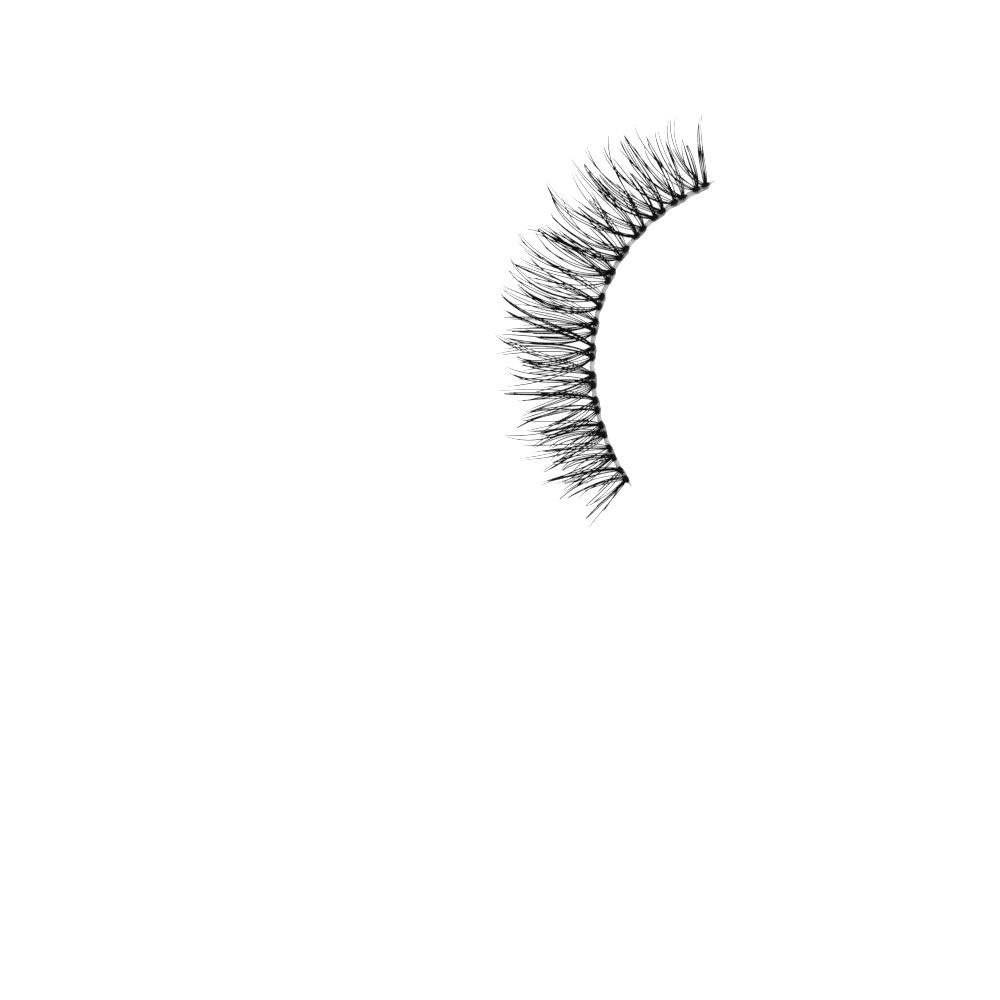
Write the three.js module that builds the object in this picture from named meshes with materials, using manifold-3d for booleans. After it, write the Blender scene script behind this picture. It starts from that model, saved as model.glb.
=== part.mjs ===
// A false eyelash strip of the wispy kind, lying on its band as it would on a table.
//
// A thin clear band follows an arc. Pairs of knots sit on it, and each knot ties a bundle of fibres whose two
// legs leave it as a V: one leans to the outer corner of the eye, the other to the inner corner. The legs of
// neighbouring knots cross, and all of them follow one curl, flat at the band and rising towards the tips.
//
// Millimetres, +Z up. The origin is the middle of the band's underside, +X runs along the band to the inner
// corner of the eye, and the lashes point to -Y.
//
// Places along the fringe are written in band coordinates: how far along the band, and how far out from it.

import * as THREE from "three";
import { mergeVertices } from "three/addons/utils/BufferGeometryUtils.js";
import Module from "manifold-3d";

const wasm = await Module();
wasm.setup();

// Band
const BAND_LENGTH = 33.2;
const BAND_ARC_RADIUS = 18.1;
const BAND_WIDTH = 0.46;
const BAND_THICKNESS = 0.2;
const BAND_TOP_BEVEL = 0.05;
const BAND_END_TAPER = 0.9; // length over which each end runs down to its tip
const BAND_TIP_WIDTH = 0.12;
const BAND_SWAY = 0.11; // how far the band wanders off its arc
const BAND_SWAY_WAVES = 1.45;
const PAD_BULGE = 0.14; // the glue behind each pair of knots widens the band on its lid side
const PAD_LENGTH = 1.7;
const PAD_STEPS = 6; // stations of the band for each pair of knots

// Knots
const KNOT_LENGTH = 0.78; // along the band
const KNOT_WIDTH = 0.58; // across the band
const KNOT_RISE = 0.5; // above the top of the band
const KNOT_SPACING = 0.91; // between the two knots of a pair
const END_KNOT_MARGIN = 1.36; // from the middle of the first and last pair to the end of the band
const SEAT_GAP = 0.03; // between the band and what sits on it

// Fibres
const LASH_REACH = 9.4; // how far the longest tip stands out from the band, seen from above
const CURL_HEIGHT = 4.0; // how high that tip stands
const CURL_POWER = 2.4;
const LOCK_WIDTH = 0.3;
const LOCK_ROOT_WIDTH = 0.26;
const LOCK_TIP_WIDTH = 0.06;
const LOCK_THICKNESS = 0.12;
const LOCK_TIP_THICKNESS = 0.05;
const LOCK_WIDEST_AT = 0.35; // share of the lock's length
const FORK_SHARE = 0.75; // the width of a leg's further locks against that of its first
const LAYER_GAP = 0.08; // between a lock and one that crosses it
const LAYER_RAMP = 0.6; // distance out over which a lock leaves its knot for its own layer
const ROOT_STEP = 0.07; // between the heights at which the layers leave their knots
const ROOT_HANDLE = 0.2; // how stiffly a lock keeps its lean at the knot, as a share of its reach
const TIP_HANDLE = 0.38; // and its lean at the tip

const LOCK_STATIONS = 7;
const STATION_CROWDING = 1.5; // above 1, a lock's stations crowd to its knot, where it bends most
const WELD_TOLERANCE = 0.004; // slivers thinner than this are dropped where locks join

const bandTop = BAND_THICKNESS + SEAT_GAP;
const layerPitch = LOCK_THICKNESS + LAYER_GAP;

// One leg of a knot: its lean in degrees from straight out, positive to the inner corner, and its locks, the
// fullest first. A lock is [drift, reach, tipLean]. drift is how far its tip lies along the band from the
// knot, as a share of the distance between two pairs. reach is a share of LASH_REACH. tipLean is the lean of
// the tip.
const leg = (lean, ...locks) => ({ lean, locks });

// One row for each pair of knots, from the outer corner to the inner. shift moves the pair off its even
// place, as a share of the distance between two pairs. Each knot has its leg to the outer corner first, then
// its leg to the inner corner.
const PAIRS = [
  {
    shift: 0.02,
    knots: [
      [leg(-26, [-0.79, 0.65, -28], [-0.45, 0.435, -20]), leg(60, [0.09, 0.73, -34], [0.45, 0.45, 0])],
      [leg(-35, [-0.33, 0.49, -20], [-0.39, 0.435, 0]), leg(60, [0.66, 0.83, -14], [0.72, 0.615, -18])],
    ],
  },
  {
    shift: 0.02,
    knots: [
      [leg(-40, [-0.39, 0.69, -18], [-0.47, 0.555, -10]), leg(54, [0.6, 0.79, -10], [0.77, 0.745, 4])],
      [leg(-38, [-0.43, 0.69, -6], [-0.33, 0.52, 0]), leg(56, [0.7, 0.845, -18], [0.55, 0.47, -6])],
    ],
  },
  {
    shift: -0.02,
    knots: [
      [leg(-38, [-0.49, 0.81, -8], [-0.36, 0.75, -6]), leg(50, [0.53, 0.94, -15], [0.72, 0.675, -8])],
      [leg(-36, [-0.35, 0.51, -4], [-0.24, 0.69, 0]), leg(48, [0.44, 0.84, -10], [0.7, 0.575, -4])],
    ],
  },
  {
    shift: -0.02,
    knots: [
      [leg(-38, [-1.19, 0.89, -30], [-0.45, 0.49, -6]), leg(46, [0.69, 0.725, -6], [0.45, 0.58, -6])],
      [leg(-38, [-0.56, 0.84, -8], [-0.39, 0.96, -12]), leg(46, [0.43, 1, -22], [0.47, 0.62, -6])],
    ],
  },
  {
    shift: 0.01,
    knots: [
      [leg(-36, [-0.81, 0.865, -18], [-0.79, 0.6, -18]), leg(44, [-0.03, 0.915, -28], [0.43, 0.79, -14])],
      [leg(-38, [-0.57, 0.62, -8], [-0.32, 0.435, -2]), leg(46, [0.5, 0.85, -6], [0.76, 0.94, 12])],
    ],
  },
  {
    shift: 0.02,
    knots: [
      [leg(-38, [-0.59, 0.8, -14], [-0.31, 0.66, -8]), leg(44, [0.5, 0.94, -10], [0.63, 0.6, 0])],
      [leg(-38, [-0.64, 0.69, -14], [-0.5, 0.81, -4]), leg(46, [0.49, 0.865, -5], [0.86, 0.745, 2])],
    ],
  },
  {
    shift: 0.06,
    knots: [
      [leg(-34, [-0.77, 0.98, -20], [-0.43, 0.675, -8]), leg(46, [-0.17, 0.975, -32], [0.15, 0.935, -22])],
      [leg(-38, [-0.39, 0.915, -4], [-0.72, 0.79, -22]), leg(50, [0.27, 0.955, -10], [0.61, 0.81, 8])],
    ],
  },
  {
    shift: 0.06,
    knots: [
      [leg(-40, [-0.64, 0.875, -14], [-0.84, 0.93, -18]), leg(42, [0.78, 0.85, 6], [0.6, 0.7, 4])],
      [leg(-38, [0.08, 0.9, 8], [-0.28, 0.71, 4]), leg(46, [0.55, 0.89, -3], [0.38, 0.59, 0])],
    ],
  },
  {
    shift: 0.05,
    knots: [
      [leg(-44, [-1.12, 0.955, -24], [-0.78, 0.91, -14]), leg(44, [0.47, 0.73, -20], [0.64, 0.705, -8])],
      [leg(-38, [0.03, 0.93, 10], [-0.26, 0.89, 2]), leg(46, [0.9, 0.825, 2], [0.51, 0.665, 2])],
    ],
  },
  {
    shift: 0.13,
    knots: [
      [leg(-40, [-1.15, 0.955, -22], [-0.51, 0.72, -14]), leg(46, [0.6, 0.695, -3], [0.47, 0.56, 0])],
      [leg(-38, [-0.68, 0.825, -22], [-0.43, 0.73, -10]), leg(48, [0.72, 0.73, 8], [0.55, 0.645, 6])],
    ],
  },
  {
    shift: 0.12,
    knots: [
      [leg(-40, [-0.66, 0.925, -6], [-0.38, 0.75, -4]), leg(44, [0.72, 0.6, 4], [0.51, 0.495, 6])],
      [leg(-36, [0.01, 0.8, 12], [-0.21, 0.745, 0]), leg(46, [0.09, 0.925, -18], [0.38, 0.6, -6])],
    ],
  },
  {
    shift: 0.11,
    knots: [
      [leg(-40, [-0.51, 0.72, -8], [-0.3, 0.59, -8]), leg(42, [0.75, 0.69, 8], [0.55, 0.58, 8])],
      [leg(-44, [-0.36, 0.695, 16], [-0.21, 0.55, 14]), leg(26, [-0.17, 0.85, -14], [0.26, 0.58, -4])],
    ],
  },
  {
    shift: 0.06,
    knots: [
      [leg(-38, [-0.79, 0.72, -10], [-0.51, 0.62, -8]), leg(42, [0.36, 0.56, -6], [0.21, 0.41, 2])],
      [leg(-42, [-0.68, 0.56, -6], [-0.38, 0.525, 4]), leg(22, [0.21, 0.58, 2], [0.35, 0.66, 9])],
    ],
  },
  {
    shift: 0.01,
    knots: [
      [leg(-46, [-0.87, 0.755, -4], [-0.64, 0.61, -6]), leg(30, [0.41, 0.475, 6], [0.21, 0.305, 8])],
      [leg(-46, [-0.59, 0.66, 12], [-0.43, 0.42, 0]), leg(24, [0.54, 0.585, 14], [0.3, 0.545, 6])],
    ],
  },
];

const pairPitch = (BAND_LENGTH - 2 * END_KNOT_MARGIN) / (PAIRS.length - 1);
const smooth = (x) => THREE.MathUtils.smoothstep(x, 0, 1);
const pairPlace = (pair) => (pair - (PAIRS.length - 1) / 2 + PAIRS[pair].shift) * pairPitch;

const materials = {
  band: new THREE.MeshStandardMaterial({ color: 0xb9bcc0, roughness: 0.35, metalness: 0 }),
  fibre: new THREE.MeshStandardMaterial({ color: 0x0d0c0c, roughness: 0.5, metalness: 0 }),
};

// How far the band has wandered off its arc at a place along it.
function sway(along) {
  const share = along / BAND_LENGTH + 0.5;
  return -BAND_SWAY * Math.cos(2 * Math.PI * BAND_SWAY_WAVES * share);
}

// Band coordinates to the part's frame. out is measured from the middle of the band.
function place(along, out, up) {
  const angle = along / BAND_ARC_RADIUS;
  const onBand = THREE.MathUtils.clamp(along, -BAND_LENGTH / 2, BAND_LENGTH / 2);
  const radius = BAND_ARC_RADIUS + sway(onBand) + out;
  return new THREE.Vector3(radius * Math.sin(angle), BAND_ARC_RADIUS - radius * Math.cos(angle), up);
}

// The one curl that every fibre follows: the height of the fringe at a distance out from the band.
const curl = (out) => CURL_HEIGHT * Math.pow(Math.max(out, 0) / LASH_REACH, CURL_POWER);

// A closed three.js geometry as a solid.
function solidOf(geometry) {
  geometry.deleteAttribute("normal");
  geometry.deleteAttribute("uv");
  const merged = mergeVertices(geometry, 1e-5);
  const mesh = new wasm.Mesh({
    numProp: 3,
    vertProperties: merged.attributes.position.array,
    triVerts: new Uint32Array(merged.index.array),
  });
  return new wasm.Manifold(mesh);
}

function geometryOf(solid) {
  const mesh = solid.getMesh();
  return new THREE.BufferGeometry()
    .setAttribute("position", new THREE.BufferAttribute(mesh.vertProperties, 3))
    .setIndex(new THREE.BufferAttribute(mesh.triVerts, 1));
}

// Moves every vertex of a geometry to where a function of its old place says.
function reshape(geometry, move) {
  const position = geometry.attributes.position;
  const vertex = new THREE.Vector3();
  for (let i = 0; i < position.count; i++) {
    vertex.fromBufferAttribute(position, i);
    position.setXYZ(i, ...move(vertex).toArray());
  }
  return geometry;
}

// The glue pads: 1 behind the middle of a pair of knots, 0 away from it.
function padShare(along) {
  let share = 0;
  for (let pair = 0; pair < PAIRS.length; pair++) {
    const distance = Math.abs(along - pairPlace(pair)) / (PAD_LENGTH / 2);
    share = Math.max(share, smooth(1.5 * (1 - distance)));
  }
  return share;
}

// A long box bent onto the arc. Its lid side swells at the pads, its top edges are bevelled, and its ends
// taper.
function makeBand() {
  const stations = PAIRS.length * PAD_STEPS;
  const box = new THREE.BoxGeometry(1, 1, 1, stations, 1, 1);
  return reshape(box, ({ x, y, z }) => {
    const along = x * BAND_LENGTH;
    const taper = smooth((BAND_LENGTH / 2 - Math.abs(along)) / BAND_END_TAPER);
    const lidSide = y > 0;
    const full = BAND_WIDTH / 2 + (lidSide ? PAD_BULGE * padShare(along) : 0);
    const half = THREE.MathUtils.lerp(BAND_TIP_WIDTH / 2, full, taper);
    const bevel = z > 0 ? BAND_TOP_BEVEL * (half / full) : 0;
    return place(along, (lidSide ? -1 : 1) * (half - bevel), z > 0 ? BAND_THICKNESS : 0);
  });
}

// The plan of a lock, in band coordinates: a Bezier curve that leaves its knot in one direction and reaches
// its tip in another.
function lockPlan(knotAt, lean, drift, reach, tipLean) {
  const root = new THREE.Vector2(knotAt, 0);
  const tip = new THREE.Vector2(knotAt + drift * pairPitch, reach * LASH_REACH);
  const ahead = (from, degrees, share) => {
    const angle = THREE.MathUtils.degToRad(degrees);
    return new THREE.Vector2(Math.sin(angle), Math.cos(angle)).multiplyScalar(share * tip.y).add(from);
  };
  const rootEnd = ahead(root, lean, ROOT_HANDLE);
  const tipEnd = ahead(tip, tipLean, -TIP_HANDLE);
  return new THREE.CubicBezierCurve(root, rootEnd, tipEnd, tip);
}

// The outline of a lock, up one side of its plan and down the other. It is widest a third of the way out and
// fine at its tip. Far out, places lie further apart than in band coordinates, and stretch allows for it.
function lockOutline(plan, section) {
  const widthAt = (t) =>
    t < LOCK_WIDEST_AT
      ? THREE.MathUtils.mapLinear(t, 0, LOCK_WIDEST_AT, LOCK_ROOT_WIDTH, LOCK_WIDTH) * section
      : THREE.MathUtils.mapLinear(t, LOCK_WIDEST_AT, 1, LOCK_WIDTH * section, LOCK_TIP_WIDTH);
  const edge = (t, side) => {
    const { x: along, y: out } = plan.getPoint(t);
    const forward = plan.getTangent(t);
    const half = (side * widthAt(t)) / 2;
    const stretch = 1 + out / BAND_ARC_RADIUS;
    return [along + (forward.y * half) / stretch, out - forward.x * half];
  };
  const stations = Array.from({ length: LOCK_STATIONS + 1 }, (_, i) => i / LOCK_STATIONS);
  const shares = stations.map((station) => Math.pow(station, STATION_CROWDING));
  return [...shares.map((t) => edge(t, 1)), ...shares.reverse().map((t) => edge(t, -1))];
}

// One leg of a knot: its locks, joined in plan, given their thickness and laid on the curl in the leg's own
// layer. The joined outline's longest contour is its rim, and slivers between the locks are filled.
function makeLeg(knotAt, { lean, locks }, layer) {
  const contours = locks
    .map(([drift, reach, tipLean], i) => {
      const plan = lockPlan(knotAt, lean, drift, reach, tipLean);
      return new wasm.CrossSection([lockOutline(plan, i === 0 ? 1 : FORK_SHARE)]);
    })
    .reduce((joined, outline) => joined.add(outline))
    .toPolygons();
  const [rim] = contours.sort((a, b) => b.length - a.length);

  const rootHeight = bandTop + LOCK_THICKNESS / 2 + (layer + 0.3) * ROOT_STEP;
  const layerHeight = LOCK_THICKNESS / 2 + layer * layerPitch;
  const farthest = LASH_REACH * Math.max(...locks.map(([, reach]) => reach));
  return wasm.Manifold.extrude([rim], 1).warp((vertex) => {
    const [along, out, through] = vertex;
    const ramp = smooth((out - KNOT_WIDTH / 2) / LAYER_RAMP);
    const middle = THREE.MathUtils.lerp(rootHeight, layerHeight, ramp) + curl(out);
    const thickness = THREE.MathUtils.lerp(LOCK_THICKNESS, LOCK_TIP_THICKNESS, out / farthest);
    const laid = place(along, out, middle + (0.5 - through) * thickness);
    vertex.splice(0, 3, laid.x, laid.y, laid.z);
  });
}

// A knot: a round ball of wound fibre, flat where it sits on the band.
function makeKnot(knotAt) {
  const ball = new THREE.IcosahedronGeometry(1, 1);
  const centre = place(knotAt, 0, 0);
  const angle = knotAt / BAND_ARC_RADIUS;
  return reshape(ball, ({ x, y, z }) => {
    const along = (x * KNOT_LENGTH) / 2;
    const across = (y * KNOT_WIDTH) / 2;
    const up = bandTop + Math.max(0, KNOT_RISE * (0.4 + 0.6 * z));
    return new THREE.Vector3(
      centre.x + along * Math.cos(angle) - across * Math.sin(angle),
      centre.y + along * Math.sin(angle) + across * Math.cos(angle),
      up,
    );
  });
}

// A knot with its two legs, fused into one solid.
function makeTuft(knotAt, [outerLeg, innerLeg], evenKnot) {
  const layer = evenKnot ? 1 : 0;
  const tuft = solidOf(makeKnot(knotAt))
    .add(makeLeg(knotAt, outerLeg, layer + 2))
    .add(makeLeg(knotAt, innerLeg, layer));
  return geometryOf(tuft.simplify(WELD_TOLERANCE));
}

function named(name, geometry, material) {
  const mesh = new THREE.Mesh(geometry, material);
  mesh.name = name;
  return mesh;
}

const strip = new THREE.Group();
strip.add(named("band", makeBand(), materials.band));
PAIRS.forEach(({ knots }, pair) => {
  knots.forEach((legs, second) => {
    const knotAt = pairPlace(pair) + (second - 0.5) * KNOT_SPACING;
    const number = String(2 * pair + second + 1).padStart(2, "0");
    strip.add(named("tuft_" + number, makeTuft(knotAt, legs, second === 1), materials.fibre));
  });
});

export default strip;
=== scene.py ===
# %% [markdown]
# # A false eyelash strip, hair by hair
#
# A strip of false lashes is knotted by hand. A bundle of fine black fibres is looped round a thin clear
# band, so that its two halves leave the knot as a V. The knots sit in pairs, and the halves of
# neighbouring knots cross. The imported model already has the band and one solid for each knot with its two
# legs. This script keeps their places and sizes, and puts real fibres, wound knots and a softly cast band
# where those plain solids are.
#
# Lengths in this file are in millimetres until a mesh is made. Blender gets metres, as the frame has
# them.

import math
from collections import namedtuple

import bpy
import numpy as np
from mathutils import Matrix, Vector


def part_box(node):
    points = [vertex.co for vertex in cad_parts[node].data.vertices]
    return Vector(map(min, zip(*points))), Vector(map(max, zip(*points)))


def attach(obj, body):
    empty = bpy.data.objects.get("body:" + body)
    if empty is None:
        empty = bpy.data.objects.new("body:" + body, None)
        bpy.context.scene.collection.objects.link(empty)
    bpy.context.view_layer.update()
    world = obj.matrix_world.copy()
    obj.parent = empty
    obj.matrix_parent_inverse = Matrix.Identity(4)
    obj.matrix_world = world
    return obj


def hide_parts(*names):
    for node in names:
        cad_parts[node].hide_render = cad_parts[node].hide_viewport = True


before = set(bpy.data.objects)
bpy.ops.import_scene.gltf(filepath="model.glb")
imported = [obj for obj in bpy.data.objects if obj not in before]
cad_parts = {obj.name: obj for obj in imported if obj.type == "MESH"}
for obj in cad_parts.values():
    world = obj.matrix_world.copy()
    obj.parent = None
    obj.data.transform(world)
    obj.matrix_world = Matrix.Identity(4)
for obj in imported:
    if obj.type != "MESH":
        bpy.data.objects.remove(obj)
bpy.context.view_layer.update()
METRES = 0.001  # in a millimetre
print("frame:", len(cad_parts), "nodes")

# %% [markdown]
# ## Sizes
#
# The real strip is drawn in its own coordinates, the way its maker sees it: how far along the band a hair
# is tied, and how far out from the band a point of it lies. Each fibre is then simple to write down,
# whatever way the band bends underneath. The band's box in the frame tells whether these sizes still fit
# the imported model.

# %% Sizes of the real strip
BAND_LENGTH = 33.2
BAND_ARC_RADIUS = 18.1
BAND_WIDTH = 0.46
BAND_THICKNESS = 0.2
BAND_END_TAPER = 0.9
BAND_TIP_WIDTH = 0.12
BAND_SWAY = 0.11
BAND_SWAY_WAVES = 1.45
PAD_BULGE = 0.14
PAD_LENGTH = 1.7

KNOT_LENGTH = 0.78
KNOT_WIDTH = 0.58
KNOT_RISE = 0.5
KNOT_SPACING = 0.91
END_KNOT_MARGIN = 1.36

LASH_REACH = 9.4
CURL_HEIGHT = 4.0
CURL_POWER = 2.4
ROOT_HANDLE = 0.2
TIP_HANDLE = 0.38
LAYER_PITCH = 0.2
LAYER_RAMP = 0.6
ROOT_STEP = 0.07
FIBRE_WIDTH = 0.107

band_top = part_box("band")[1][2] / METRES
print("band top in the frame: %.3f mm, here %.3f mm" % (band_top, BAND_THICKNESS))

# %% [markdown]
# ## How the tufts lie
#
# The knots are listed from the outer corner of the eye to the inner one, two for each pair. Each has a
# leg that leans to the outer corner and one that leans to the inner corner, in degrees from straight out.
# spread says how loosely a leg's hairs lie: some legs are drawn to one black stroke, and some are open
# fans. The hairs end in a few locks. A lock's tip has drifted along the band by a share of the distance
# between two pairs, it reaches out by a share of the longest lash, and it leans by its own angle. hairs
# says how full the lock is.

# %% Table of the knots and their legs
Lock = namedtuple("Lock", "drift reach tip_lean hairs")
Leg = namedtuple("Leg", "lean spread locks")
Knot = namedtuple("Knot", "outer inner")


def leg(lean, spread, *locks):
    """One leg of a knot, with its locks in the order of Lock."""
    return Leg(lean, spread, [Lock(*lock) for lock in locks])


# How far each pair is off its even place, as a share of the distance between two pairs.
PAIR_SHIFTS = [0.02, 0.02, -0.02, -0.02, 0.01, 0.02, 0.06, 0.06, 0.05, 0.13, 0.12, 0.11, 0.06, 0.01]

KNOTS = [
    Knot(
        leg(-26, 0.7, (-0.79, 0.65, -28, 3), (-0.45, 0.435, -20, 2)),
        leg(60, 1, (0.09, 0.73, -34, 2), (0.45, 0.45, 0, 1)),
    ),
    Knot(
        leg(-35, 0.9, (-0.33, 0.49, -20, 3), (-0.39, 0.435, 0, 3)),
        leg(60, 1.4, (0.66, 0.83, -14, 1), (0.72, 0.615, -18, 2), (0.35, 0.25, 4, 1)),
    ),
    Knot(
        leg(-40, 0.8, (-0.39, 0.69, -18, 2), (-0.47, 0.555, -10, 2)),
        leg(54, 1, (0.6, 0.79, -10, 2), (0.77, 0.745, 4, 1), (0.47, 0.8, -4, 2)),
    ),
    Knot(
        leg(-38, 0.8, (-0.43, 0.69, -6, 2), (-0.33, 0.52, 0, 2)),
        leg(56, 1.3, (0.7, 0.845, -18, 2), (0.55, 0.47, -6, 2)),
    ),
    Knot(
        leg(-38, 0.6, (-0.49, 0.81, -8, 3), (-0.36, 0.75, -6, 1), (-0.13, 0.36, -4, 1)),
        leg(50, 1.1, (0.53, 0.94, -15, 2), (0.72, 0.675, -8, 2)),
    ),
    Knot(
        leg(-36, 0.6, (-0.35, 0.51, -4, 3), (-0.24, 0.69, 0, 1)),
        leg(48, 0.9, (0.44, 0.84, -10, 3), (0.7, 0.575, -4, 3)),
    ),
    Knot(
        leg(-38, 0.9, (-1.19, 0.89, -30, 1), (-0.45, 0.49, -6, 2), (-0.85, 0.68, -26, 1)),
        leg(46, 1.1, (0.69, 0.725, -6, 2), (0.45, 0.58, -6, 2)),
    ),
    Knot(
        leg(-38, 0.55, (-0.56, 0.84, -8, 3), (-0.39, 0.96, -12, 2)),
        leg(46, 0.6, (0.43, 1, -22, 3), (0.47, 0.62, -6, 2), (0.62, 0.7, 4, 1)),
    ),
    Knot(
        leg(-36, 1, (-0.81, 0.865, -18, 2), (-0.79, 0.6, -18, 2)),
        leg(44, 1, (-0.03, 0.915, -28, 2), (0.43, 0.79, -14, 2)),
    ),
    Knot(
        leg(-38, 0.9, (-0.57, 0.62, -8, 2), (-0.32, 0.435, -2, 2)),
        leg(46, 1.3, (0.5, 0.85, -6, 2), (0.76, 0.94, 12, 2), (0.4, 0.79, -14, 2)),
    ),
    Knot(
        leg(-38, 1, (-0.59, 0.8, -14, 2), (-0.31, 0.66, -8, 2), (-0.08, 0.38, -2, 1)),
        leg(44, 1.1, (0.5, 0.94, -10, 2), (0.63, 0.6, 0, 1), (0, 0.83, -16, 3)),
    ),
    Knot(
        leg(-38, 0.9, (-0.64, 0.69, -14, 2), (-0.5, 0.81, -4, 2)),
        leg(46, 1.6, (0.49, 0.865, -5, 2), (0.86, 0.745, 2, 2)),
    ),
    Knot(
        leg(-34, 0.8, (-0.77, 0.98, -20, 2), (-0.43, 0.675, -8, 1)),
        leg(46, 1.3, (-0.17, 0.975, -32, 2), (0.15, 0.935, -22, 1), (0.38, 0.6, 2, 1)),
    ),
    Knot(
        leg(-38, 0.6, (-0.39, 0.915, -4, 3), (-0.72, 0.79, -22, 2)),
        leg(50, 0.8, (0.27, 0.955, -10, 3), (0.61, 0.81, 8, 1), (0.1, 0.81, -22, 2)),
    ),
    Knot(
        leg(-40, 0.9, (-0.64, 0.875, -14, 2), (-0.84, 0.93, -18, 1), (-0.51, 0.81, -20, 1)),
        leg(42, 1, (0.78, 0.85, 6, 3), (0.6, 0.7, 4, 3)),
    ),
    Knot(
        leg(-38, 0.9, (0.08, 0.9, 8, 2), (-0.28, 0.71, 4, 2), (-0.88, 0.81, -24, 2)),
        leg(46, 1, (0.55, 0.89, -3, 3), (0.38, 0.59, 0, 3)),
    ),
    Knot(
        leg(-44, 0.6, (-1.12, 0.955, -24, 3), (-0.78, 0.91, -14, 3)),
        leg(44, 0.9, (0.47, 0.73, -20, 3), (0.64, 0.705, -8, 2)),
    ),
    Knot(
        leg(-38, 0.8, (0.03, 0.93, 10, 2), (-0.26, 0.89, 2, 3)),
        leg(46, 0.8, (0.9, 0.825, 2, 1), (0.51, 0.665, 2, 3)),
    ),
    Knot(
        leg(-40, 0.8, (-1.15, 0.955, -22, 3), (-0.51, 0.72, -14, 3)),
        leg(46, 0.9, (0.6, 0.695, -3, 2), (0.47, 0.56, 0, 2)),
    ),
    Knot(
        leg(-38, 0.9, (-0.68, 0.825, -22, 2), (-0.43, 0.73, -10, 2), (-0.11, 0.48, -2, 1)),
        leg(48, 1.3, (0.72, 0.73, 8, 3), (0.55, 0.645, 6, 2)),
    ),
    Knot(
        leg(-40, 0.6, (-0.66, 0.925, -6, 4), (-0.38, 0.75, -4, 1)),
        leg(44, 1.1, (0.72, 0.6, 4, 3), (0.51, 0.495, 6, 2)),
    ),
    Knot(
        leg(-36, 0.9, (0.01, 0.8, 12, 2), (-0.21, 0.745, 0, 2), (-0.4, 0.7, 2, 1)),
        leg(46, 1, (0.09, 0.925, -18, 2), (0.38, 0.6, -6, 2)),
    ),
    Knot(
        leg(-40, 1, (-0.51, 0.72, -8, 2), (-0.3, 0.59, -8, 2), (-0.81, 0.735, -16, 1)),
        leg(42, 1.3, (0.75, 0.69, 8, 3), (0.55, 0.58, 8, 2)),
    ),
    Knot(
        leg(-44, 0.8, (-0.36, 0.695, 16, 3), (-0.21, 0.55, 14, 2)),
        leg(26, 1, (-0.17, 0.85, -14, 2), (0.26, 0.58, -4, 2)),
    ),
    Knot(
        leg(-38, 1, (-0.79, 0.72, -10, 2), (-0.51, 0.62, -8, 1), (-1.08, 0.79, -22, 1)),
        leg(42, 1.2, (0.36, 0.56, -6, 2), (0.21, 0.41, 2, 2)),
    ),
    Knot(
        leg(-42, 1.1, (-0.68, 0.56, -6, 2), (-0.38, 0.525, 4, 3), (-0.27, 0.74, -6, 1)),
        leg(22, 1.1, (0.21, 0.58, 2, 2), (0.35, 0.66, 9, 1), (0.3, 0.37, 6, 1)),
    ),
    Knot(
        leg(-46, 0.7, (-0.87, 0.755, -4, 3), (-0.64, 0.61, -6, 2)),
        leg(30, 1, (0.41, 0.475, 6, 2), (0.21, 0.305, 8, 1)),
    ),
    Knot(
        leg(-46, 1.2, (-0.59, 0.66, 12, 2), (-0.43, 0.42, 0, 2), (-0.55, 0.58, -6, 1)),
        leg(24, 0.5, (0.54, 0.585, 14, 1), (0.3, 0.545, 6, 2), (0.21, 0.39, 2, 1), (0, 0.47, -4, 1)),
    ),
]

PAIRS = len(PAIR_SHIFTS)
pair_pitch = (BAND_LENGTH - 2 * END_KNOT_MARGIN) / (PAIRS - 1)
pair_places = (np.arange(PAIRS) - (PAIRS - 1) / 2 + np.array(PAIR_SHIFTS)) * pair_pitch
knot_places = np.ravel(pair_places[:, None] + np.array([-0.5, 0.5]) * KNOT_SPACING)
print("pairs:", PAIRS, "every %.2f mm" % pair_pitch)

# %% [markdown]
# ## From the strip's own coordinates to the frame
#
# The band bends on an arc and wanders a little off it. One function takes any number of points from band
# coordinates to the frame, and every piece below goes through it, so they all fit each other.


# %% Band coordinates to the frame
def smooth(x):
    """0 below 0, 1 above 1, and three x squared less two x cubed between them."""
    x = np.clip(x, 0, 1)
    return x * x * (3 - 2 * x)


def place(along, out, up):
    """Points of the frame, in metres. The angle is the way along divided by the arc's radius. The
    distance from the arc's centre is that radius, plus the way out, less the band's sway, a cosine wave
    along its length."""
    angle = along / BAND_ARC_RADIUS
    share = np.clip(along / BAND_LENGTH + 0.5, 0, 1)
    radius = BAND_ARC_RADIUS + out - BAND_SWAY * np.cos(2 * np.pi * BAND_SWAY_WAVES * share)
    x = radius * np.sin(angle)
    y = BAND_ARC_RADIUS - radius * np.cos(angle)
    return np.stack(np.broadcast_arrays(x, y, up), axis=-1) * METRES


def curl(out):
    """Height of the fringe at a distance out: the curl's height times the share of the reach to a power."""
    return CURL_HEIGHT * np.power(np.maximum(out, 0) / LASH_REACH, CURL_POWER)


tip_height = curl(np.array(LASH_REACH))
print("a full-length lash ends %.1f mm up" % tip_height)

# %% [markdown]
# ## Meshes from arrays
#
# Every piece here is made of tubes or of one skin round a path, and both are a grid of rings. One helper
# joins such rings into closed tubes, many at a time, and another hands the arrays to Blender. Doing it
# with whole arrays keeps three hundred fibres as quick as one.


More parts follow.
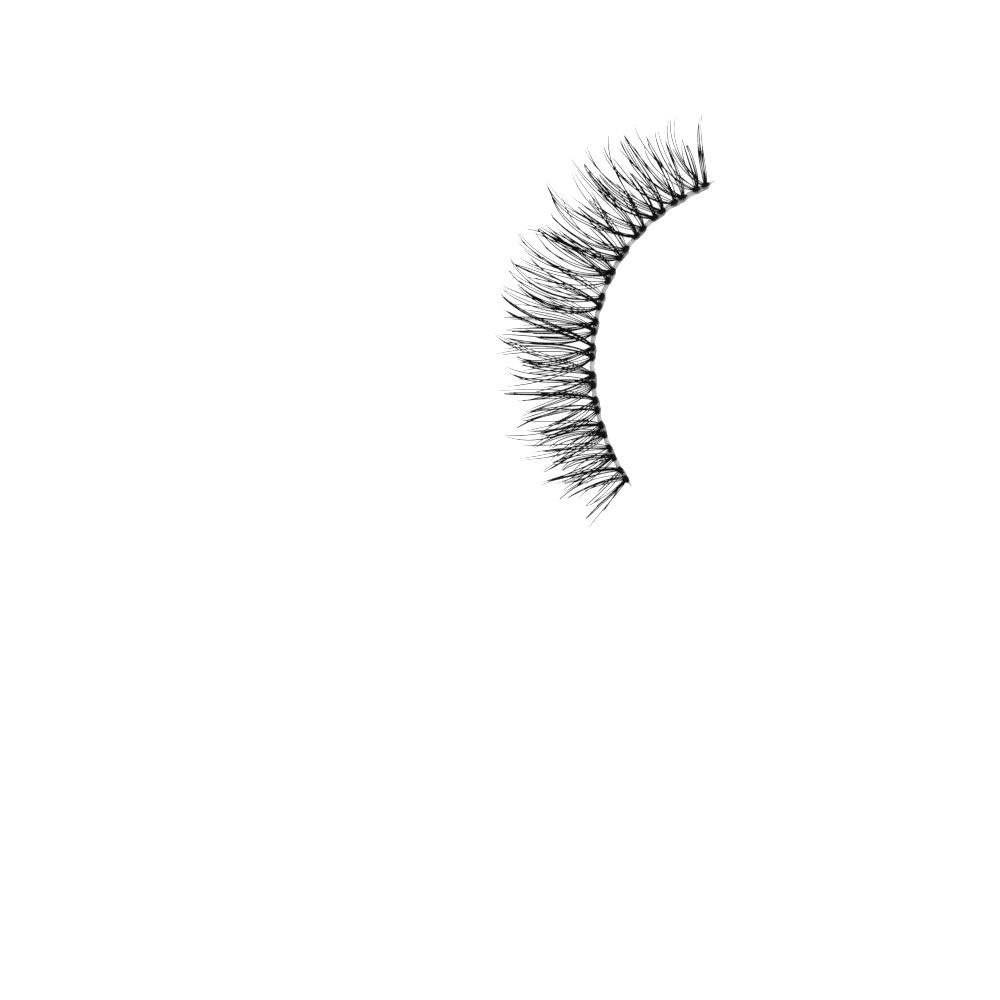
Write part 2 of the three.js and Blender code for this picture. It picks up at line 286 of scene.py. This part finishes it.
# %% Helpers that make meshes
def tube_faces(tubes, rings, sides):
    """Quads round a number of closed tubes, and the triangle fans on their two ends. Each tube's vertices
    are its rings in order, then one point for its first end and one for its last."""
    size = rings * sides + 2
    ring = np.arange(rings - 1)[:, None] * sides
    side = np.arange(sides)[None, :]
    after = (side + 1) % sides
    corners = [ring + sides + side, ring + sides + after, ring + after, ring + side]
    quads = np.stack(corners, axis=-1).reshape(-1, 4)
    first = np.stack([side[0], after[0], np.full(sides, size - 2)], axis=-1)
    last_ring = (rings - 1) * sides
    last = np.stack([last_ring + after[0], last_ring + side[0], np.full(sides, size - 1)], axis=-1)
    starts = np.arange(tubes)[:, None, None] * size
    return (starts + quads).reshape(-1, 4), (starts + np.concatenate([first, last])).reshape(-1, 3)


def ring_points(paths, widths, heights, sides):
    """Vertices of closed tubes along paths. Each ring is an ellipse across the path: half the width times
    a cosine along the level normal, plus half the height times a sine along the other normal."""
    forward = np.gradient(paths, axis=1)
    forward /= np.linalg.norm(forward, axis=-1, keepdims=True)
    level = np.cross(forward, [0, 0, 1])
    level /= np.linalg.norm(level, axis=-1, keepdims=True)
    upward = np.cross(level, forward)
    turn = 2 * np.pi * np.arange(sides) / sides
    across = np.cos(turn)[:, None] * level[:, :, None, :] * (widths / 2)[:, :, None, None]
    above = np.sin(turn)[:, None] * upward[:, :, None, :] * (heights / 2)[:, :, None, None]
    rings = paths[:, :, None, :] + across + above
    ends = np.stack([paths[:, 0], paths[:, -1]], axis=1)
    return np.concatenate([rings.reshape(len(paths), -1, 3), ends], axis=1)


def add_piece(name, vertices, faces, material, attributes=None):
    """Makes one object from vertices and lists of faces, shades it smooth and rides it on the strip.
    attributes maps names to one number for each vertex, which materials can read."""
    mesh = bpy.data.meshes.new(name)
    mesh.from_pydata(vertices.reshape(-1, 3).tolist(), [], [f for part in faces for f in part.tolist()])
    mesh.polygons.foreach_set("use_smooth", np.ones(len(mesh.polygons), dtype=bool))
    for key, values in (attributes or {}).items():
        attribute = mesh.attributes.new(key, "FLOAT", "POINT")
        attribute.data.foreach_set("value", np.ravel(values).astype(np.float32))
    mesh.materials.append(material)
    mesh.validate()
    piece = bpy.data.objects.new(name, mesh)
    bpy.context.scene.collection.objects.link(piece)
    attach(piece, "root")
    return piece


print("quads and cap triangles of a box made as a tube:", [len(part) for part in tube_faces(1, 2, 4)])

# %% [markdown]
# ## Finishes
#
# Lash fibre is polybutylene terephthalate, a polyester. It is spun as a smooth thread, dyed black in the
# melt, tapered in a bath that eats its tips, and curled by heat. So it is near black, with a soft, long
# highlight and tips that let a little brown light through. At the knots it is soaked with clear glue,
# which dries hard and glossy. The band is cast from clear polyurethane, a little cloudy, and the glue on
# it has dried in low humps.


# %% Helpers for materials
def linear(hex_colour):
    """An sRGB hex colour as linear red, green, blue and alpha: each channel c is c / 12.92 where it is
    small, and otherwise (c + 0.055) / 1.055 to the power 2.4."""
    channels = [int(hex_colour[i : i + 2], 16) / 255 for i in (1, 3, 5)]
    return tuple(c / 12.92 if c <= 0.04045 else ((c + 0.055) / 1.055) ** 2.4 for c in channels) + (1.0,)


def add_node(tree, kind, inputs=None, **settings):
    """Adds a node, sets its options, and gives each named input a value or the output that feeds it."""
    node = tree.nodes.new(kind)
    for name, value in settings.items():
        setattr(node, name, value)
    for name, value in (inputs or {}).items():
        if isinstance(value, bpy.types.NodeSocket):
            tree.links.new(value, node.inputs[name])
        else:
            node.inputs[name].default_value = value
    return node


def new_material(name):
    """An empty node material and its tree."""
    material = bpy.data.materials.new(name)
    material.use_nodes = True
    material.node_tree.nodes.clear()
    return material, material.node_tree


def ramp(tree, factor, *stops):
    """A colour ramp fed by factor, with stops of (position, hex colour)."""
    node = add_node(tree, "ShaderNodeValToRGB", {"Fac": factor})
    for element, (position, colour) in zip(node.color_ramp.elements, stops):
        element.position = position
        element.color = linear(colour)
    return node.outputs["Color"]


def speckle(tree, grain, detail):
    """Noise on Object coordinates, with grains about so many millimetres wide."""
    coordinates = add_node(tree, "ShaderNodeTexCoord").outputs["Object"]
    scale = 1 / (grain * METRES)
    inputs = {"Vector": coordinates, "Scale": scale, "Detail": detail}
    return add_node(tree, "ShaderNodeTexNoise", inputs).outputs["Fac"]


def finish_material(tree, shader):
    """Sends a shader to the surface output."""
    add_node(tree, "ShaderNodeOutputMaterial", {"Surface": shader.outputs["BSDF"]})


print("mid grey #808080 is %.3f in linear light" % linear("#808080")[0])

# %% Melt-dyed polyester fibre, tapered and heat-curled
SPIN_LINES = 0.12  # width of the lines that drawing leaves: real ones are finer and would not show
BROWN_FROM = 0.6  # share of a fibre's length from which its brown tip begins


def polyester_fibre():
    """Near black with a soft sheen. Each fibre has its own shade, and its thin tip is browner, because
    light gets through it."""
    material, tree = new_material("polyester_fibre_melt_dyed_heat_curled")
    strand = add_node(tree, "ShaderNodeAttribute", attribute_name="strand").outputs["Fac"]
    length = add_node(tree, "ShaderNodeAttribute", attribute_name="length").outputs["Fac"]
    body = ramp(tree, strand, (0.0, "#020202"), (1.0, "#0b0a09"))
    tip = ramp(tree, strand, (0.0, "#0a0908"), (1.0, "#171311"))
    near_tip = add_node(
        tree, "ShaderNodeMapRange", {"Value": length, "From Min": BROWN_FROM, "From Max": 1.0}
    ).outputs[0]
    colour = add_node(tree, "ShaderNodeMix", {0: near_tip, 6: body, 7: tip}, data_type="RGBA").outputs[2]
    lines = speckle(tree, SPIN_LINES, 2.0)
    gloss = add_node(tree, "ShaderNodeMapRange", {"Value": lines, "To Min": 0.34, "To Max": 0.58})
    shader = add_node(
        tree,
        "ShaderNodeBsdfPrincipled",
        {"Base Color": colour, "Roughness": gloss.outputs[0], "IOR": 1.5, "Specular IOR Level": 0.07},
    )
    finish_material(tree, shader)
    return material


FIBRE = polyester_fibre()
print("material:", FIBRE.name)

# %% The same fibre soaked with dried glue
GLUE_LUMPS = 0.2  # width of the lumps in which the glue dries on the windings


def glued_fibre():
    """Black fibre under a film of clear dried glue: darker, with small wet-looking lights."""
    material, tree = new_material("polyester_fibre_soaked_in_dried_glue")
    strand = add_node(tree, "ShaderNodeAttribute", attribute_name="strand").outputs["Fac"]
    colour = ramp(tree, strand, (0.0, "#020202"), (1.0, "#080707"))
    lumps = speckle(tree, GLUE_LUMPS, 3.0)
    film = add_node(tree, "ShaderNodeMapRange", {"Value": lumps, "To Min": 0.3, "To Max": 0.6})
    bump = add_node(tree, "ShaderNodeBump", {"Height": lumps, "Strength": 0.4, "Distance": 0.02 * METRES})
    shader = add_node(
        tree,
        "ShaderNodeBsdfPrincipled",
        {
            "Base Color": colour,
            "Roughness": film.outputs[0],
            "Normal": bump.outputs[0],
            "IOR": 1.5,
            "Specular IOR Level": 0.05,
            "Coat Weight": 0.06,
            "Coat Roughness": 0.2,
        },
    )
    finish_material(tree, shader)
    return material


GLUED_FIBRE = glued_fibre()
print("material:", GLUED_FIBRE.name)

# %% Clear cast polyurethane with dried lash glue, and painted shade round the knots
BAND_CLOUDS = 0.5  # width of the cloudy patches in the plastic
CAST_GRAIN = 0.15  # width of the grain that the casting mould leaves


def cast_band():
    """A cloudy clear plastic: most light goes a little way in and comes out grey-white. Round each knot and
    behind each pair it is painted a darker grey, as painted shade of the dark knots seen through the clear
    plastic, where the attribute glue is high. A fine grain varies its gloss."""
    material, tree = new_material("clear_cast_polyurethane_with_glue_and_painted_knot_shade")
    glue = add_node(tree, "ShaderNodeAttribute", attribute_name="glue").outputs["Fac"]
    cloud = speckle(tree, BAND_CLOUDS, 4.0)
    clear = ramp(tree, cloud, (0.35, "#b4b5b7"), (0.65, "#cccdcf"))
    # The darker grey is painted shade, where the dark knots shade the clear band and show through it.
    knot_shade = ramp(tree, cloud, (0.35, "#6b6c6e"), (0.65, "#9a9b9d"))
    colour = add_node(tree, "ShaderNodeMix", {0: glue, 6: clear, 7: knot_shade}, data_type="RGBA").outputs[2]
    grain = speckle(tree, CAST_GRAIN, 3.0)
    gloss = add_node(tree, "ShaderNodeMapRange", {"Value": grain, "To Min": 0.22, "To Max": 0.5})
    bump = add_node(tree, "ShaderNodeBump", {"Height": grain, "Strength": 0.5, "Distance": 0.015 * METRES})
    shader = add_node(
        tree,
        "ShaderNodeBsdfPrincipled",
        {
            "Base Color": colour,
            "Roughness": gloss.outputs[0],
            "Normal": bump.outputs[0],
            "IOR": 1.48,
            "Transmission Weight": 0.3,
        },
    )
    finish_material(tree, shader)
    return material


BAND = cast_band()
print("material:", BAND.name)

# %% [markdown]
# ## The band
#
# The real band is a ribbon of clear plastic, half a millimetre wide, with rounded edges. Glue has crept
# up round every knot and swells the ribbon on its lid side. It could be a bevelled curve, but its section
# changes all the way along, so it is a profile carried along the arc: each ring has its own width,
# lid-side bulge and height.

# %% Band profile carried along the arc
BAND_RINGS = 420
BAND_SIDES = 28
BAND_TIP_THICKNESS = 0.09
CROWN_DROP = 0.35  # share of its height that the top loses from its middle to its edges
GLUE_RISE = 0.17  # how far the glue climbs round a knot
GLUE_LENGTH = 0.8  # of the hump at one knot
GLUE_CREEP = 0.03  # how far the glue at a knot spreads to the hair side
PAD_SHADE = 0.8  # how strong the painted shade of the knots is behind a pair, as a share of that at a knot
HUMP_SLOPE = 1.5  # over 1, so that a hump has a flat middle
# The uneven edges that casting leaves: two waves, each with its height, radians a millimetre and start.
RIPPLES = [(0.018, 5.3, 0.0), (0.014, 11.7, 1.0)]
END_FROM, END_TO = 9.0, 14.0  # how far out the ends begin to differ, and where they do in full
OUTER_FLAT, INNER_FLAT = 0.5, 0.7  # share of the bulge behind a pair that each end does without
OUTER_SHIFT = 0.09  # how far the outer knots sit towards the hair side
OUTER_FILL = 0.06  # how much wider glue makes the band between them
SECTION_POWER = 3.2  # 2 would be an ellipse, and more is squarer


def humps(along, places, length):
    """1 round each place and 0 beyond half the length from it, smooth between."""
    nearest = np.min(np.abs(along[:, None] - places), axis=1)
    return smooth(HUMP_SLOPE * (1 - nearest / (length / 2)))


def make_band():
    """Each ring is a rounded box: a cosine and a sine, each drawn to a power of two over SECTION_POWER,
    times half the ring's width and height. Its underside rests on the surface below, and its top falls
    off to its edges."""
    along = np.linspace(-BAND_LENGTH / 2, BAND_LENGTH / 2, BAND_RINGS)
    taper = smooth((BAND_LENGTH / 2 - np.abs(along)) / BAND_END_TAPER)
    pads = humps(along, pair_places, PAD_LENGTH)
    glue = humps(along, knot_places, GLUE_LENGTH)
    outer = smooth((-along - END_FROM) / (END_TO - END_FROM))
    inner = smooth((along - END_FROM) / (END_TO - END_FROM))
    bulge = PAD_BULGE * (1 - OUTER_FLAT * outer - INNER_FLAT * inner) * pads
    ripple = sum(rise * np.sin(along * rate + start) for rise, rate, start in RIPPLES)
    tip = BAND_TIP_WIDTH / 2
    half = BAND_WIDTH / 2 - tip
    hair_side = tip + (half + GLUE_CREEP * glue - OUTER_SHIFT * outer + ripple) * taper
    lid_side = tip + (half + bulge + (OUTER_SHIFT + OUTER_FILL) * outer - ripple) * taper
    height = BAND_TIP_THICKNESS + (BAND_THICKNESS - BAND_TIP_THICKNESS + GLUE_RISE * glue) * taper

    turn = 2 * np.pi * np.arange(BAND_SIDES) / BAND_SIDES
    across = np.sign(np.cos(turn)) * np.abs(np.cos(turn)) ** (2 / SECTION_POWER)
    above = np.sign(np.sin(turn)) * np.abs(np.sin(turn)) ** (2 / SECTION_POWER)
    out = np.where(across > 0, hair_side[:, None], lid_side[:, None]) * across
    crown = 1 - CROWN_DROP * np.abs(across) ** 2 * (above > 0)
    up = height[:, None] * (0.5 + 0.5 * above) * crown
    rings = place(along[:, None], out, up)
    ends = place(along[[0, -1]], np.zeros(2), height[[0, -1]] / 2)
    vertices = np.concatenate([rings.reshape(-1, 3), ends])
    quads, caps = tube_faces(1, BAND_RINGS, BAND_SIDES)
    # Where the band is painted darker, as painted shade of the dark knots: full at each knot, and a share
    # of it behind each pair.
    knot_shade = np.append(np.repeat(np.maximum(PAD_SHADE * pads, glue), BAND_SIDES), [0, 0])
    return add_piece("lash_band", vertices, [quads, caps], BAND, {"glue": knot_shade})


band = make_band()
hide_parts("band")
print("band:", len(band.data.vertices), "vertices")

# %% [markdown]
# ## The fibres
#
# Blender's own hair system would draw fibres fast, but it exports no mesh, and these strips are
# hand-knotted, not combed. So each fibre is a tube on a Bezier curve. The fibres of a leg leave the knot
# tightly bundled and open to ribbons of nearly parallel hairs, one ribbon to a lock. Each hair ends at
# its own share of the lock's length, and a few strays leave the ribbons, which gives the fringe its
# feathered, wispy edge.

# %% Curves of the fibres of a leg
FIBRE_RINGS = 18
FIBRE_SIDES = 5
BUNDLE = 0.1  # half the width of a leg where it leaves the knot
RIBBON = 0.27  # half its width further out, where its hairs run side by side
LOCK_GAP = 0.34  # between neighbouring hairs of one lock, nearer the tips
TIP_GAP = 0.07  # and at the tips
ROW_LOOSE = 0.4  # chance in those gaps, as a share of them
FAN = 6.0  # degrees by which the lean of its outermost hairs differs from the middle
LEAN_LOOSE = 2.0  # degrees of chance in each hair's lean
SHORTFALL = 0.15  # how far short of its lock's tip a hair may end, as a share of its curve
END_SKEW = (1.0, 2.5)  # draws most of those ends close to the tip
STRAYS = 1  # hairs of a leg that leave its locks
STRAY_DRIFT = 0.08  # how far they go, as a share of the distance between two pairs
STRAY_SHORTEST = 0.5  # share of its lock's reach that the shortest stray has
STRAY_SIDE = 1.2  # how far to the side of the leg it may start, in half widths
NEAR_LOOSE, FAR_LOOSE, TIP_LOOSE = 0.03, 0.1, 0.06  # chance in each hair's own curve, along the band
OUT_LOOSE = 0.4  # and how much of that it has outwards


def bezier(root, root_end, tip_end, tip, t):
    """Points on cubic Bezier curves: the four control points weighted by (1-t) cubed, 3t(1-t) squared, 3t
    squared (1-t) and t cubed."""
    rest = 1 - t
    return rest**3 * root + 3 * rest**2 * t * root_end + 3 * rest * t**2 * tip_end + t**3 * tip


def direction(degrees):
    """A step of one, at an angle from straight out."""
    angle = np.radians(degrees)
    return np.stack([np.sin(angle), np.cos(angle)], axis=-1)


def hair_plans(knot_at, one, locks, across, row, ends, rng):
    """Plans of a leg's hairs in band coordinates, a Bezier curve each. locks holds each hair's drift,
    reach and tip lean, across is its place from one side of the leg (-1) to the other (1), row counts it
    from the middle of its lock, and ends says what share of the curve it has."""
    drift, reach, tip_lean = locks.T
    hairs = len(locks)
    along, level = np.array([1.0, 0.0]), np.zeros(hairs)
    root = np.stack([knot_at + level, level], axis=-1)
    leaving = one.lean + one.spread * (FAN * across + rng.normal(0, LEAN_LOOSE, hairs))
    tip = np.stack([knot_at + drift * pair_pitch, reach * LASH_REACH], axis=-1)
    ahead = root + direction(leaving) * ROOT_HANDLE * tip[:, 1:]
    behind = tip - direction(tip_lean) * TIP_HANDLE * tip[:, 1:]
    ribbon = RIBBON * one.spread
    loose = rng.normal(0, 1, (3, hairs, 2)) * [1.0, OUT_LOOSE] * one.spread
    t = ends[:, None, None] * np.linspace(0, 1, FIBRE_RINGS)[None, :, None]
    return bezier(
        (root + BUNDLE * across[:, None] * along)[:, None],
        (ahead + ribbon * across[:, None] * along + NEAR_LOOSE * loose[0])[:, None],
        (behind + LOCK_GAP * one.spread * row[:, None] * along + FAR_LOOSE * loose[1])[:, None],
        (tip + TIP_GAP * one.spread * row[:, None] * along + TIP_LOOSE * loose[2])[:, None],
        t,
    )


def leg_plans(knot_at, one, rng):
    """Plans of all the fibres of a leg. Its hairs keep their order from one side to the other, so the
    locks lie side by side, and each stray starts anywhere among them."""
    locks, rows, ends = [], [], []
    for lock in sorted(one.locks):
        locks += [lock[:3]] * lock.hairs
        rows += list(np.arange(lock.hairs) - (lock.hairs - 1) / 2)
        ends += [1.0] + list(1 - SHORTFALL * rng.beta(*END_SKEW, lock.hairs - 1))
    for stray in rng.integers(0, len(locks), STRAYS):
        drift, reach, tip_lean = locks[stray]
        aside, share = rng.normal(0, STRAY_DRIFT), rng.uniform(STRAY_SHORTEST, 1.0)
        locks.append((drift * share + aside, reach * share, tip_lean))
        rows.append(0.0)
        ends.append(1.0)
    across = np.linspace(-1, 1, len(locks) - STRAYS)
    across = np.concatenate([across, rng.uniform(-STRAY_SIDE, STRAY_SIDE, STRAYS)])
    rows = np.array(rows) + rng.normal(0, ROW_LOOSE, len(rows))
    return hair_plans(knot_at, one, np.array(locks), across, rows, np.array(ends), rng)


print("hairs of the first leg:", len(leg_plans(0.0, KNOTS[0].outer, np.random.default_rng(0))))

# %% Fibres of a leg in the frame
ROOT_RISE = 0.141  # how far above the band the middle of the lowest leg leaves its knot
LOWEST_LAYER = 0.07  # height of the lowest layer's middle, before the curl
STACKED = 0.05  # how far above or below the middle of its leg a fibre may lie
LIFT_LOOSE = 0.03  # chance in how high a fibre curls, as a share
THINNEST, THICKEST = 0.82, 1.12  # widths of the fibres, as shares of FIBRE_WIDTH
TAPER = 0.35  # share of its width that a fibre loses at its tip
TAPER_FROM = 0.88  # share of its length where that begins


def leg_height(out, layer):
    """Height of the middle of a leg: it leaves its knot a step higher for each layer, and ramps to its
    own layer before it meets the legs that cross it. The curl comes on top."""
    at_root = band_top + ROOT_RISE + layer * ROOT_STEP
    in_layer = LOWEST_LAYER + layer * LAYER_PITCH
    ramped = smooth((out - KNOT_WIDTH / 2) / LAYER_RAMP)
    return at_root + (in_layer - at_root) * ramped + curl(out)


def leg_fibres(knot_at, one, layer, rng):
    """Paths of all the fibres of a leg in the frame."""
    plan = leg_plans(knot_at, one, rng)
    along, out = plan[..., 0], plan[..., 1]
    stacked = rng.uniform(-STACKED, STACKED, (len(plan), 1))
    lift = 1 + rng.normal(0, LIFT_LOOSE, (len(plan), 1))
    return place(along, out, leg_height(out, layer) * lift + stacked)


def fibre_widths(count, rng):
    """Width at each ring: full at the root, and down to a finer tip over the last part. Each fibre has
    its own width."""
    t = np.linspace(0, 1, FIBRE_RINGS)
    taper = 1 - TAPER * smooth((t - TAPER_FROM) / (1 - TAPER_FROM))
    return FIBRE_WIDTH * METRES * rng.uniform(THINNEST, THICKEST, (count, 1)) * taper


print("legs leave their knot %.2f to %.2f mm up" % (leg_height(0.0, 0), leg_height(0.0, 3)))

# %% All the fibres of each knot as one piece
LASH_SEED = 100  # starts the chance of a knot's fibres, together with its number


def make_lashes(number, knot_at, knot, even):
    """The fibres of both legs. The second knot of a pair has its legs a layer above those of the first,
    and all the legs to the outer corner lie above those to the inner one."""
    rng = np.random.default_rng(LASH_SEED + number)
    outer = leg_fibres(knot_at, knot.outer, 2 + even, rng)
    inner = leg_fibres(knot_at, knot.inner, even, rng)
    paths = np.concatenate([outer, inner])
    widths = fibre_widths(len(paths), rng)
    vertices = ring_points(paths, widths, widths, FIBRE_SIDES)
    per_tube = FIBRE_RINGS * FIBRE_SIDES + 2
    strand = np.repeat(rng.uniform(0, 1, len(paths)), per_tube)
    rings = np.repeat(np.linspace(0, 1, FIBRE_RINGS), FIBRE_SIDES)
    length = np.tile(np.concatenate([rings, [0, 1]]), len(paths))
    faces = tube_faces(len(paths), FIBRE_RINGS, FIBRE_SIDES)
    return add_piece("lashes_%02d" % number, vertices, faces, FIBRE, {"strand": strand, "length": length})


fibre_count = 0
for index, (knot_at, knot) in enumerate(zip(knot_places, KNOTS)):
    lashes = make_lashes(index + 1, knot_at, knot, index % 2)
    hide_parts("tuft_%02d" % (index + 1))
    fibre_count += len(lashes.data.vertices) // (FIBRE_RINGS * FIBRE_SIDES + 2)
print("fibres:", fibre_count)

# %% [markdown]
# ## The knots
#
# At a knot the bundle goes round the band once and is drawn tight, so what shows is a short barrel of
# fibres that run across the band, one beside the other. A plain ball would look like a bead. So each knot
# is a small core with fibres laid over it: arches from the lid side to the hair side, that close up to
# the middle where the legs leave.

# %% Core of a knot
CORE_RINGS = 9
CORE_SIDES = 14
CORE_OUT = 0.85  # how far out the core fills the knot, as a share
CORE_HALF_LENGTH = 0.45  # and along it, as a share of the knot's length
CORE_MIDDLE = 0.4  # height of its middle above its seat, as a share of the knot's rise
CORE_SEAT = 0.8  # height of its seat, as a share of the band's
KNOT_HAIR_SIDE = 0.26  # how far a knot reaches out from the middle of the band
KNOT_LID_SIDE = 0.21  # and how far to the lid side
KNOT_BLUNT = 0.04  # keeps the ends of its lid side blunt, and 0 would draw them to a point
KNOT_HAIR_FALL = 0.5  # share by which its hair side is narrower at the ends


def knot_outline(run):
    """How far a knot reaches to its lid side at a place along it, from -1 at one end to 1 at the other:
    the square root of one less run squared. Its hair side falls off less, with run to the fourth power."""
    lid = KNOT_LID_SIDE * np.sqrt(np.clip(1 - run**2, KNOT_BLUNT, 1))
    hair = KNOT_HAIR_SIDE * np.clip(1 - run**4 * KNOT_HAIR_FALL, 0, 1)
    return lid, hair


def knot_core(knot_at):
    """A barrel along the band, rounded like the knot's outline."""
    run = np.sin(np.linspace(-np.pi / 2, np.pi / 2, CORE_RINGS + 2))[1:-1]
    turn = 2 * np.pi * np.arange(CORE_SIDES) / CORE_SIDES
    round_ = np.sqrt(1 - run**2)[:, None]
    lid, hair = knot_outline(run)
    out = CORE_OUT * round_ * np.where(np.cos(turn) > 0, hair[:, None], lid[:, None]) * np.cos(turn)
    up = band_top * CORE_SEAT + KNOT_RISE * CORE_MIDDLE * (1 + round_ * np.sin(turn))
    along = knot_at + KNOT_LENGTH * CORE_HALF_LENGTH * run[:, None] + 0 * turn
    ends_along = knot_at + KNOT_LENGTH * CORE_HALF_LENGTH * np.array([-1.0, 1.0])
    ends = place(ends_along, np.zeros(2), np.full(2, band_top * CORE_SEAT + KNOT_RISE * CORE_MIDDLE))
    return np.concatenate([place(along, out, up).reshape(-1, 3), ends])


print("core of a knot:", len(knot_core(0.0)), "vertices")

# %% Windings over the core
WINDINGS = 9
WINDING_RINGS = 15
WINDING_SIDES = 6
WINDING_WIDTH = 0.115
WINDING_FLAT = 0.8  # height of a pressed winding, as a share of its width
WINDING_REACH = 0.9  # how near the knot's ends the last windings lie, as a share of its half length
WINDING_SPAN = 0.92  # share of the knot's length that their places are spread over
WINDING_FROM, WINDING_TO = 200, -20  # degrees round the knot where an arch begins and ends
PLACE_LOOSE, SLANT_LOOSE = 0.04, 0.05  # chance in their places and in how they slant
ARCH_SEAT = 0.02  # how far above the band their feet are
ARCH_DROP = 0.1  # how much lower than the knot the middle of a winding is
ARCH_LOW = 0.45  # height that a winding keeps even at the knot's ends, as a share
ARCH_BLUNT = 0.1  # keeps the rest of its height from falling to nothing there
FOOT_DEPTH = 0.25  # how far below its feet's level an arch may dip, as a share of its height
HAIR_PINCH = 0.15  # how much nearer together the windings lie where the legs leave


def knot_windings(knot_at, rng):
    """Arches over the core, side by side, from the lid side to the hair side. The way across is a cosine
    and the height a sine of the angle, each times the knot's outline there."""
    run = np.linspace(-WINDING_REACH, WINDING_REACH, WINDINGS) + rng.normal(0, PLACE_LOOSE, WINDINGS)
    angle = np.radians(np.linspace(WINDING_FROM, WINDING_TO, WINDING_RINGS))
    across, above = np.cos(angle)[None, :], np.sin(angle)[None, :]
    lid, hair = knot_outline(run)
    out = np.where(across > 0, hair[:, None], lid[:, None]) * across
    swell = np.sqrt(np.clip(1 - run**2, ARCH_BLUNT, 1))[:, None]
    rise = (KNOT_RISE - ARCH_DROP) * (ARCH_LOW + (1 - ARCH_LOW) * swell)
    height = band_top + ARCH_SEAT + rise * np.maximum(above, -FOOT_DEPTH)
    slant = rng.normal(0, SLANT_LOOSE, (WINDINGS, 1)) * across
    spread = KNOT_LENGTH / 2 * WINDING_SPAN * run[:, None] * (1 - HAIR_PINCH * smooth(across))
    return place(knot_at + spread + slant, out, height)


print("windings of a knot:", WINDINGS, "arches of", WINDING_RINGS, "rings")

# %% Tie every knot
KNOT_SEED = 500  # starts the chance of a knot's windings, together with its number


def make_knot(number, knot_at):
    """The core and the windings of one knot as one piece."""
    rng = np.random.default_rng(KNOT_SEED + number)
    core = knot_core(knot_at)
    paths = knot_windings(knot_at, rng)
    widths = np.full(paths.shape[:2], WINDING_WIDTH * METRES)
    windings = ring_points(paths, widths, widths * WINDING_FLAT, WINDING_SIDES)
    core_quads, core_caps = tube_faces(1, CORE_RINGS, CORE_SIDES)
    quads, caps = tube_faces(WINDINGS, WINDING_RINGS, WINDING_SIDES)
    vertices = np.concatenate([core, windings.reshape(-1, 3)])
    faces = [core_quads, core_caps, quads + len(core), caps + len(core)]
    shades = np.repeat(rng.uniform(0, 1, WINDINGS), windings.shape[1])
    strand = np.concatenate([np.zeros(len(core)), shades])
    return add_piece("knot_%02d" % number, vertices, faces, GLUED_FIBRE, {"strand": strand})


for index, knot_at in enumerate(knot_places):
    wound = make_knot(index + 1, knot_at)
    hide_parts("tuft_%02d" % (index + 1))
print("knots:", len(knot_places))

# %% [markdown]
# ## Floor, light and camera
#
# The strip lies on plain white, seen from straight above, in light so soft that it throws almost no
# shadow. A long lens far off keeps the raised tips where they are. The camera's roll and place follow the
# photograph's frame.

# %% Floor
FLOOR_SIZE = 900.0
FLOOR_DROP = 0.02  # keeps the floor just clear of the band's flat underside
FLOOR_GLOW = 0.75


def make_floor():
    """A square sheet just under the strip."""
    square = np.array([[-1, -1, 0], [1, -1, 0], [1, 1, 0], [-1, 1, 0]])
    corners = square * FLOOR_SIZE / 2 - [0, 0, FLOOR_DROP]
    mesh = bpy.data.meshes.new("floor")
    mesh.from_pydata((corners * METRES).tolist(), [], [(0, 1, 2, 3)])
    material, tree = new_material("opal_acrylic_lit_from_below")
    shader = add_node(
        tree,
        "ShaderNodeBsdfPrincipled",
        {
            "Base Color": linear("#f0f0f0"),
            "Roughness": 0.9,
            "Emission Color": linear("#ffffff"),
            "Emission Strength": FLOOR_GLOW,
        },
    )
    finish_material(tree, shader)
    mesh.materials.append(material)
    floor = bpy.data.objects.new("floor", mesh)
    bpy.context.scene.collection.objects.link(floor)


make_floor()
print("floor: %.0f mm square" % FLOOR_SIZE)

# %% Light
TENT_STRENGTH = 0.6

scene = bpy.context.scene
scene.view_settings.view_transform = "Standard"
world = bpy.data.worlds.new("white_tent")
world.use_nodes = True
tent = world.node_tree.nodes["Background"]
tent.inputs["Color"].default_value = linear("#ffffff")
tent.inputs["Strength"].default_value = TENT_STRENGTH
scene.world = world


def add_softbox(name, azimuth, elevation, distance, size, power):
    """A square area light that looks at the middle of the strip. Its direction is in degrees, and its
    power in watts."""
    light = bpy.data.lights.new(name, "AREA")
    light.size = size * METRES
    light.energy = power
    box = bpy.data.objects.new(name, light)
    turn, rise = math.radians(azimuth), math.radians(elevation)
    towards = [math.cos(turn) * math.cos(rise), math.sin(turn) * math.cos(rise), math.sin(rise)]
    box.location = np.array(towards) * distance * METRES
    box.rotation_euler = (math.pi / 2 - rise, 0, turn + math.pi / 2)
    scene.collection.objects.link(box)


add_softbox("key_softbox", azimuth=150, elevation=62, distance=420, size=260, power=0.9)
add_softbox("fill_softbox", azimuth=-30, elevation=48, distance=420, size=320, power=0.5)
print("lights:", len(bpy.data.lights), "softboxes in a white tent")

# %% Camera
FRAME_WIDTH = 90.76  # what the photograph shows at the strip
FRAME_CENTRE = (18.71, -4.22)
CAMERA_ROLL = 104.92
LENS = 250.0
SENSOR = 36.0

camera_data = bpy.data.cameras.new("camera")
camera_data.lens = LENS
camera_data.sensor_width = SENSOR
camera = bpy.data.objects.new("camera", camera_data)
camera_height = FRAME_WIDTH * LENS / SENSOR
camera.location = np.array([FRAME_CENTRE[0], FRAME_CENTRE[1], camera_height]) * METRES
camera.rotation_euler = (0, 0, math.radians(CAMERA_ROLL))
scene.collection.objects.link(camera)
scene.camera = camera
print("camera %.0f mm above the strip" % camera_height)
